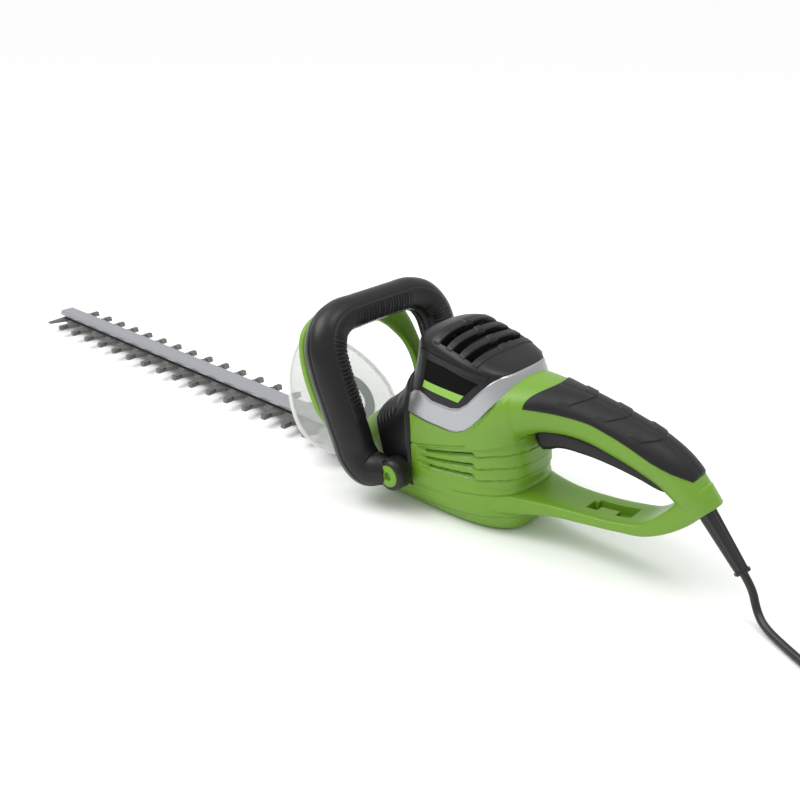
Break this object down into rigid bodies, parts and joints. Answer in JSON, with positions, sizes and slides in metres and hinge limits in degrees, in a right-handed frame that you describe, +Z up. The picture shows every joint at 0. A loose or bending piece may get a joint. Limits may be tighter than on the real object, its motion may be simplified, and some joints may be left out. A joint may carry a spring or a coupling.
{
  "type": "corded hedge trimmer",
  "caption": "Corded electric hedge trimmer with long reciprocating blades, clear hand guard, bow front handle with switch bar, D-shaped rear handle and a mains lead with plug.",
  "frame": {"origin": "on the flat rest face under the belly, below the motor axis", "axes": "+X along the tool from the blade tip towards the rear handle, +Y to the right of a user who faces the blades, +Z up along the motor axis"},
  "size_m": [1.0883, 0.173, 0.17],
  "materials": {
    "green_plastic": "fine moulded texture",
    "black_plastic": "moulded",
    "silver_trim": "silver-coloured moulded band",
    "soft_grip": "soft overmould",
    "clear_guard": "frosted clear plastic, stood in for by glass",
    "badge": "plain label",
    "rail_alloy": "satin",
    "blade_steel": "ground",
    "screw_steel": "zinc plated",
    "cast_alloy": "die cast",
    "shaft_steel": "turned",
    "lamination": "stacked laminations",
    "copper": "enamelled copper",
    "carbon": "pressed carbon",
    "cord_rubber": "moulded",
    "pin_brass": "nickel plated"
  },
  "bodies": {
    "housing": {"housing_left": "green_plastic", "housing_right": "green_plastic", "bolt_caps": "green_plastic", "motor_cap_left": "black_plastic", "motor_cap_right": "black_plastic", "front_handle_front": "black_plastic", "front_handle_rear": "black_plastic", "handle_collar": "black_plastic", "rail_tip_block": "black_plastic", "brush_bridge": "black_plastic", "brush_holders": "black_plastic", "main_switch": "black_plastic", "front_switch": "black_plastic", "capacitor": "black_plastic", "trim_band_left": "silver_trim", "trim_band_right": "silver_trim", "soft_grip_left": "soft_grip", "soft_grip_right": "soft_grip", "handle_grip_strip": "soft_grip", "hand_guard": "clear_guard", "badge_plates": "badge", "guard_badge": "badge", "guide_rail": "rail_alloy", "housing_screws": "screw_steel", "handle_bolts": "screw_steel", "handle_nuts": "screw_steel", "guard_screws": "screw_steel", "rail_screws": "screw_steel", "rail_bushes": "screw_steel", "root_plate_screws": "screw_steel", "gear_case_screws": "screw_steel", "front_spring": "screw_steel", "main_spring": "screw_steel", "gear_case": "cast_alloy", "gear_cover": "cast_alloy", "gear_bearings": "shaft_steel", "motor_bearings": "shaft_steel", "trigger_pin": "shaft_steel", "motor_stator": "lamination", "field_coils": "copper", "carbon_brushes": "carbon", "cord_boot": "cord_rubber", "cord": "cord_rubber", "plug": "cord_rubber", "plug_pins": "pin_brass"},
    "gear_set": {"gear_shaft": "shaft_steel", "drive_gear": "shaft_steel", "eccentric_discs": "shaft_steel"},
    "armature": {"armature_shaft": "shaft_steel", "drive_pinion": "shaft_steel", "cooling_fan": "black_plastic", "rotor_core": "lamination", "commutator": "copper"},
    "upper_blade": {"upper_blade": "blade_steel"},
    "lower_blade": {"lower_blade": "blade_steel"},
    "trigger": {"trigger": "black_plastic"},
    "main_plunger": {"main_plunger": "black_plastic"},
    "switch_bar": {"switch_bar": "green_plastic", "switch_bar_shaft": "shaft_steel"},
    "front_plunger": {"front_plunger": "black_plastic"}
  },
  "joints": [
    {"name": "armature_spin", "type": "hinge", "parent": "housing", "child": "armature", "pos_m": [0, 0, 0.06], "axis": [0, 0, 1], "continuous": true},
    {"name": "gear_spin", "type": "hinge", "parent": "housing", "child": "gear_set", "pos_m": [-0.0288, 0, 0.02], "axis": [0, 0, 1], "continuous": true},
    {"name": "upper_blade_slide", "type": "slide", "parent": "housing", "child": "upper_blade", "axis": [1, 0, 0], "range_m": [-0.0075, 0.0075]},
    {"name": "lower_blade_slide", "type": "slide", "parent": "housing", "child": "lower_blade", "axis": [1, 0, 0], "range_m": [-0.0075, 0.0075]},
    {"name": "trigger_squeeze", "type": "hinge", "parent": "housing", "child": "trigger", "pos_m": [0.172, 0, 0.08], "axis": [0, 1, 0], "range_deg": [0, 3.5], "stiffness_Nm_per_rad": 3, "springref_deg": -8.59},
    {"name": "main_plunger_slide", "type": "slide", "parent": "housing", "child": "main_plunger", "axis": [0, 0, 1], "range_m": [0, 0.0046], "deforming": ["main_spring"]},
    {"name": "switch_bar_squeeze", "type": "hinge", "parent": "housing", "child": "switch_bar", "pos_m": [-0.109, 0, 0.038], "axis": [0, 1, 0], "range_deg": [0, 5], "stiffness_Nm_per_rad": 3, "springref_deg": -11.46},
    {"name": "front_plunger_slide", "type": "slide", "parent": "housing", "child": "front_plunger", "axis": [0, 0, -1], "range_m": [0, 0.00079], "deforming": ["front_spring"]}
  ],
  "couplings": [
    {"joint": "armature_spin", "follows": "gear_spin", "ratio": -4.6471},
    {"joint": "lower_blade_slide", "follows": "upper_blade_slide", "ratio": -1},
    {"joint": "main_plunger_slide", "follows": "trigger_squeeze", "m_per_rad": 0.075},
    {"joint": "front_plunger_slide", "follows": "switch_bar_squeeze", "m_per_rad": 0.009}
  ]
}
